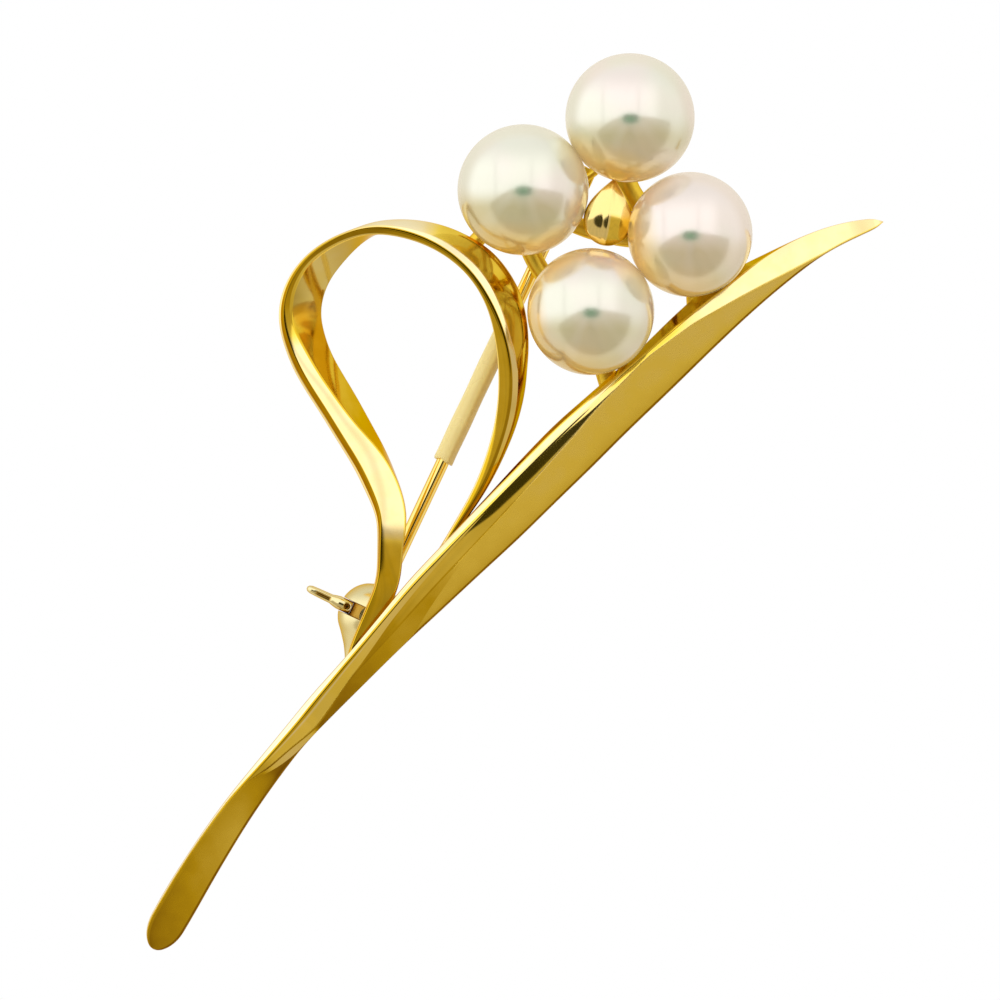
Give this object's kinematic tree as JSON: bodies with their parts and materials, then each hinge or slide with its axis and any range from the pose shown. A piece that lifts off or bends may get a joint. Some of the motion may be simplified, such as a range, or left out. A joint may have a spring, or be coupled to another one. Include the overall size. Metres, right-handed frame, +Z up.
{
  "type": "brooch",
  "caption": "Flower brooch with a long twisted leaf blade, a looped ribbon and a cluster of pearls, with a hinged pin and a turning safety catch behind.",
  "frame": {"origin": "on the pin's axis, half way between the hinge and the catch", "axes": "+Z up as worn, +X to the right seen from the front, the front faces -Y and the pin lies behind at Y = 0"},
  "size_m": [0.042, 0.0119, 0.0512],
  "materials": {
    "gold": "polished",
    "pearl": "lustrous",
    "sleeve": "satin"
  },
  "bodies": {
    "brooch": {"leaf_blade": "gold", "ribbon_loop": "gold", "pearl_top": "pearl", "pearl_left": "pearl", "pearl_right": "pearl", "pearl_bottom": "pearl", "cup_top": "gold", "cup_left": "gold", "cup_right": "gold", "cup_bottom": "gold", "peg_top": "gold", "peg_left": "gold", "peg_right": "gold", "peg_bottom": "gold", "flower_frame": "gold", "drop_bead": "gold", "drop_post": "gold", "hinge_bracket": "gold", "hinge_rivet": "gold", "catch_body": "gold", "catch_base": "gold"},
    "pin": {"pin_stem": "gold", "pin_sleeve": "sleeve"},
    "turner": {"catch_rotor": "gold", "catch_lever": "gold"}
  },
  "joints": [
    {"name": "pin_swing", "type": "hinge", "parent": "brooch", "child": "pin", "pos_m": [0.00591, 0, 0.01258], "axis": [0.905, 0, -0.4253], "range_deg": [0, 70]},
    {"name": "catch_turn", "type": "hinge", "parent": "brooch", "child": "turner", "pos_m": [-0.00591, 0, -0.01258], "axis": [-0.4253, 0, -0.905], "range_deg": [0, 100]}
  ]
}
